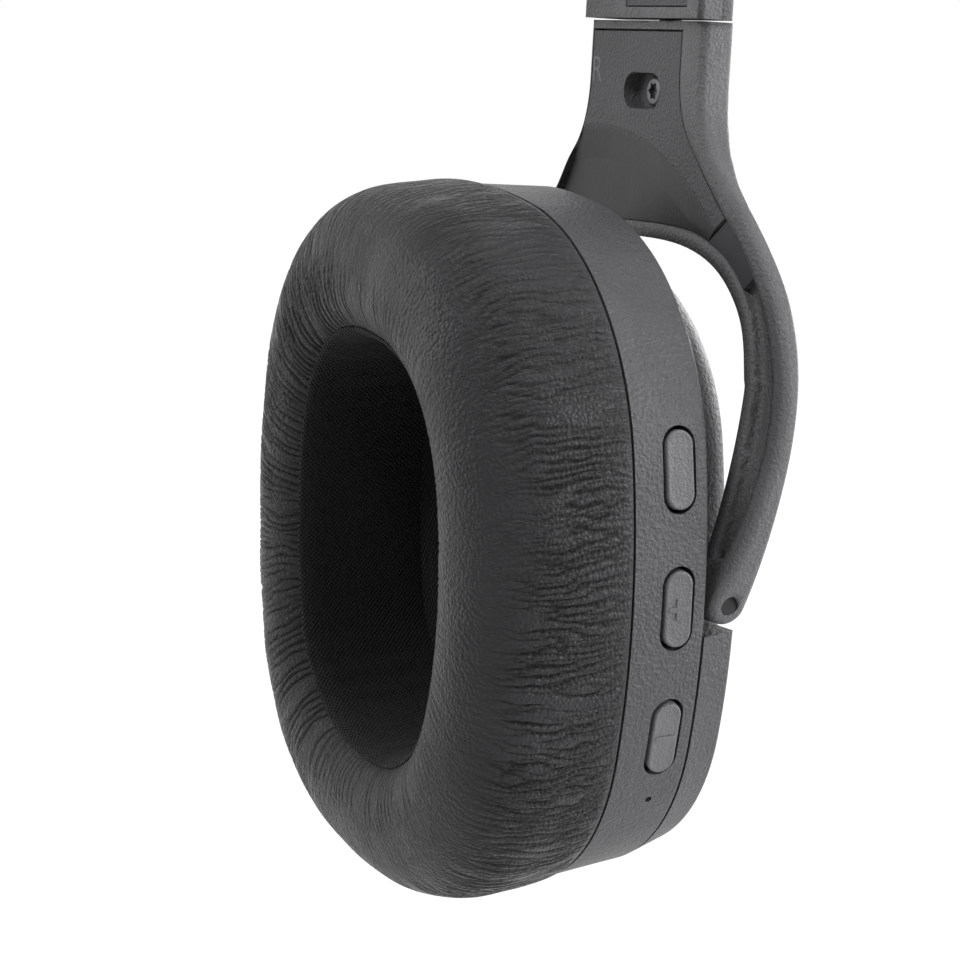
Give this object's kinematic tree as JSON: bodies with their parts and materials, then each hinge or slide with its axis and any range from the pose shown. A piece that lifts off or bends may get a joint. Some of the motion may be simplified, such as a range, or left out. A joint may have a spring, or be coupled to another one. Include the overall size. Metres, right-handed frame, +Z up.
{
  "type": "over-ear headset",
  "caption": "Over-ear headset: padded band, sliding sizers, swivelling forks and tilting oval cups with soft cushions; push keys on one cup, sockets on the other.",
  "frame": {"origin": "midway between the ears, on the line through the middles of the two cup seams, where the head sits", "axes": "+X is the wearer's right, +Y the wearer's front, +Z up towards the band"},
  "size_m": [0.1956, 0.0846, 0.2091],
  "materials": {
    "body_plastic": "fine spark-eroded texture, near-black",
    "smooth_plastic": "smooth satin, near-black",
    "cup_plastic": "fine texture, near-black",
    "inner_plastic": "plain moulded",
    "button_plastic": "smooth satin",
    "soft_cover": "soft protein leather over foam",
    "scrim_cloth": "thin open-weave cloth",
    "spring_steel": "satin",
    "screw_steel": "blackened steel",
    "driver_metal": "plain",
    "socket_steel": "bright",
    "circuit_board": "green solder resist",
    "battery_wrap": "plastic film"
  },
  "bodies": {
    "headband": {"headband_shell": "body_plastic", "band_spring": "spring_steel", "headband_liner": "body_plastic", "headband_pad": "soft_cover", "band_end_right": "body_plastic", "band_end_left": "body_plastic"},
    "arm_right": {"slider_right": "spring_steel", "slider_block_right": "body_plastic", "slider_panel_right": "smooth_plastic"},
    "fork_right": {"yoke_frame_right": "body_plastic", "yoke_cover_right": "smooth_plastic", "cable_covers_right": "smooth_plastic", "yoke_screw_right": "screw_steel", "swivel_post_right": "spring_steel"},
    "cup_right": {"pivot_pins_right": "spring_steel", "cup_housing_right": "cup_plastic", "back_cover_right": "cup_plastic", "baffle_right": "inner_plastic", "driver_right": "driver_metal", "cushion_ring_right": "inner_plastic", "ear_cushion_right": "soft_cover", "ear_scrim_right": "scrim_cloth", "button_board": "circuit_board", "microphone": "driver_metal", "main_board": "circuit_board"},
    "arm_left": {"slider_left": "spring_steel", "slider_block_left": "body_plastic", "slider_panel_left": "smooth_plastic"},
    "fork_left": {"yoke_frame_left": "body_plastic", "yoke_cover_left": "smooth_plastic", "cable_covers_left": "smooth_plastic", "yoke_screw_left": "screw_steel", "swivel_post_left": "spring_steel"},
    "cup_left": {"pivot_pins_left": "spring_steel", "cup_housing_left": "cup_plastic", "back_cover_left": "cup_plastic", "baffle_left": "inner_plastic", "driver_left": "driver_metal", "cushion_ring_left": "inner_plastic", "ear_cushion_left": "soft_cover", "ear_scrim_left": "scrim_cloth", "audio_socket": "inner_plastic", "charge_socket": "socket_steel", "battery": "battery_wrap"},
    "key_main": {"button_main": "button_plastic"},
    "key_plus": {"button_plus": "button_plastic"},
    "key_minus": {"button_minus": "button_plastic"}
  },
  "joints": [
    {"name": "size_slide_right", "type": "slide", "parent": "headband", "child": "arm_right", "axis": [0, 0, 1], "range_m": [-0.015, 0.005]},
    {"name": "swivel_right", "type": "hinge", "parent": "arm_right", "child": "fork_right", "pos_m": [0.0917, 0, 0.072], "axis": [0, 0, 1], "range_deg": [-5, 90]},
    {"name": "cup_tilt_right", "type": "hinge", "parent": "fork_right", "child": "cup_right", "pos_m": [0.0845, 0, -0.0046], "axis": [0, 1, 0], "range_deg": [-9, 10]},
    {"name": "size_slide_left", "type": "slide", "parent": "headband", "child": "arm_left", "axis": [0, 0, 1], "range_m": [-0.015, 0.005]},
    {"name": "swivel_left", "type": "hinge", "parent": "arm_left", "child": "fork_left", "pos_m": [-0.0917, 0, 0.072], "axis": [0, 0, -1], "range_deg": [-5, 90]},
    {"name": "cup_tilt_left", "type": "hinge", "parent": "fork_left", "child": "cup_left", "pos_m": [-0.0845, 0, -0.0046], "axis": [0, -1, 0], "range_deg": [-9, 10]},
    {"name": "press_main", "type": "slide", "parent": "cup_right", "child": "key_main", "axis": [0.003, 0.9994, -0.0345], "range_m": [0, 0.0006], "stiffness_N_per_m": 1500, "springref_m": -0.0003},
    {"name": "press_plus", "type": "slide", "parent": "cup_right", "child": "key_plus", "axis": [-0.0121, 0.9903, 0.1386], "range_m": [0, 0.0006], "stiffness_N_per_m": 1500, "springref_m": -0.0003},
    {"name": "press_minus", "type": "slide", "parent": "cup_right", "child": "key_minus", "axis": [-0.0269, 0.9511, 0.3076], "range_m": [0, 0.0006], "stiffness_N_per_m": 1500, "springref_m": -0.0003}
  ]
}
